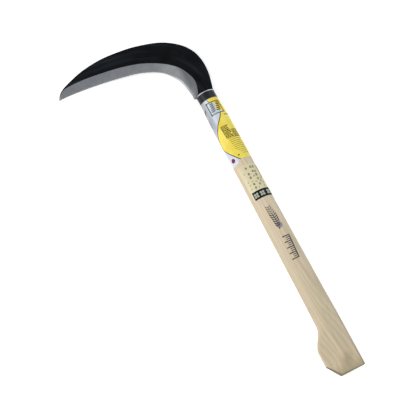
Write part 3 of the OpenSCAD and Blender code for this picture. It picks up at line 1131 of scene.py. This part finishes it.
def make_stamps():
    """Ink stamps on the wood: an ear of grain, faint at the top, a round seal, then a scale."""
    wood_tint = srgb(180, 168, 142)
    faded, dark = Print(0.012, 0.03), Print(0.012, 0.03)
    stalk = curve_through([(-0.7, 230.5), (-0.1, 221.5), (0.9, 211.5), (0.1, 197.5)])
    faded.ribbon(stalk[:9], 0.9)
    dark.ribbon(stalk[8:], 1.2)
    for k in range(10):
        y = 229.1 - 3.0 * k
        w = np.interp(y, [p[1] for p in stalk[::-1]], [p[0] for p in stalk[::-1]])
        for side in (-1, 1):
            reach = side * (3.4 + 1.5 * math.sin(math.pi * k / 9))
            grain = [(w, y), (w + reach * 0.6, y + 1.0), (w + reach, y + 3.2)]
            (faded if k < 4 else dark).leaf(grain, 1.7)
    seal = Print(0.006, 0.012).disc(1.9, 202.6, 4.2, 4.0)

    east, top, pitch, drift = 7.1, 186.5, 2.62, 0.2
    for k in range(13):
        reach, thick = (9.6, 1.45) if k % 3 == 0 else (5.8, 1.15)
        dark.bar(east - drift * k - reach / 2, top - pitch * k, reach, thick)
    dark.ribbon([(east, top + 0.7), (east - 12 * drift, top - 12 * pitch - 0.7)], 1.6)
    for printer, name, ink, colour, worn in (
            (seal, "stamp_seal", "seal", (134, 132, 148), 0.75),
            (faded, "faded_stamp", "faded", (116, 112, 94), 0.5),
            (dark, "dark_stamp", "stamp", (46, 54, 66), 0.3)):
        printer.done(name, ink_material(ink, colour, 0.7, worn, wood_tint), "handle_wood")


# ---- stage, light and camera

def make_floor():
    """Pale floor through the tip and along the underside of the handle, where the sickle rests."""
    bm = bmesh.new()
    bmesh.ops.create_grid(bm, x_segments=2, y_segments=2, size=6.0 / MM)
    s = Shader("pale_floor", Roughness=0.9, Specular_IOR_Level=0.1, Emission_Color=WHITE,
               Emission_Strength=0.42)
    s.set("Base Color", s.ramp(s.noise(9, 2.0), [(0.3, 0.955), (0.7, 0.975)]))
    floor = new_object("floor", bm, [s.material])
    floor.rotation_euler = (0, math.atan2(BACK_Z + HALF_Z, -blade_low.x - 4), 0)
    floor.location = (0.0, 0.25, (-HALF_Z - 0.4) * MM)


def aim(obj, direction):
    obj.rotation_mode = "QUATERNION"
    obj.rotation_quaternion = direction.to_track_quat("-Z", "Y")


def make_light():
    """Soft studio light: a key from the left, a weaker front light and a cool fill."""
    scene = bpy.context.scene
    scene.view_settings.view_transform = "Standard"
    scene.world = bpy.data.worlds.new("studio")
    scene.world.use_nodes = True
    backdrop = scene.world.node_tree.nodes["Background"]
    backdrop.inputs["Color"].default_value = WHITE
    backdrop.inputs["Strength"].default_value = 0.4
    middle = Vector((-0.07, 0.26, 0.0))
    for name, away, size, watts, colour in (
            ("key", (-1.8, 0.3, 1.6), 1.3, 32.5, (1, 1, 1)),
            ("front", (-0.25, -1.75, 1.5), 1.6, 12, (1, 1, 1)),
            ("fill", (1.7, 0.3, 1.2), 1.6, 16, (0.86, 0.94, 1.0))):
        lamp = bpy.data.lights.new(name, "AREA")
        lamp.shape = "SQUARE"
        lamp.size = size
        lamp.energy = watts
        lamp.color = colour
        obj = link(bpy.data.objects.new(name, lamp))
        obj.location = middle + Vector(away)
        aim(obj, -Vector(away))


def make_camera():
    """Looks down at the sickle from the butt's end, with the handle leaning to the right."""
    middle = (cad_box[0] + cad_box[1]) / 2
    azimuth, elevation = math.radians(-26.33), math.radians(72)
    distance = 1.6
    target = Vector((middle.x + 0.0132, middle.y + 0.0043, 0.0))
    back = Vector((math.sin(azimuth) * math.cos(elevation),
                   -math.cos(azimuth) * math.cos(elevation), math.sin(elevation)))
    data = bpy.data.cameras.new("camera")
    data.sensor_width = 36.0
    data.lens = 107.2
    camera = link(bpy.data.objects.new("camera", data))
    camera.location = target + back * distance
    aim(camera, -back)
    bpy.context.scene.camera = camera


# ---- the sickle

def make_sickle():
    pale_wood = wood_material("pale_wood", srgb(219, 204, 179), srgb(190, 173, 147))
    # End grain is darker, and its colours also hold painted shade for the butt's end faces
    end_grain_and_shade = wood_material("end_grain_and_shade", srgb(116, 106, 80), srgb(88, 80, 60), 1.7, 0.2, False)
    split_wood = wood_material("split_wood", srgb(196, 164, 116), srgb(150, 116, 72), 1.4, 0.16, False)
    black = lacquer_material("black_lacquer", srgb(7, 8, 11), 0.42, 0.12, 0.08, 0.3)
    collar = lacquer_material("collar_lacquer", srgb(21, 26, 32), 0.34, 0.06, 0.22)
    ground = ground_steel_material("ground_bevel", srgb(138, 142, 147), srgb(166, 170, 175))
    honed = bright_steel_material("honed_edge", srgb(132, 134, 136), srgb(156, 158, 160), 0.42)
    # The bead's ends get painted shade
    bead = bright_steel_material("bright_bead", srgb(192, 195, 192), srgb(218, 220, 217), 0.26, True)
    nail = bright_steel_material("nail_steel", srgb(110, 108, 104), srgb(160, 158, 152), 0.35)

    make_handle(pale_wood, end_grain_and_shade)
    make_ferrule(collar, bead)
    make_blade(black, ground)
    make_edge_strip(ground, honed)
    make_pins(nail)
    dark_ink = ink_material("dark", (44, 48, 52))
    olive_ink = ink_material("olive", (78, 66, 12))
    make_upper_film(dark_ink, olive_ink)
    make_yellow_words(olive_ink)
    make_lower_label()
    make_stamps()
    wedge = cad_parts["tang_wedge"]
    wedge.data.materials.clear()
    wedge.data.materials.append(split_wood)


make_camera()
make_light()
make_floor()
make_sickle()

bpy.context.view_layer.update()
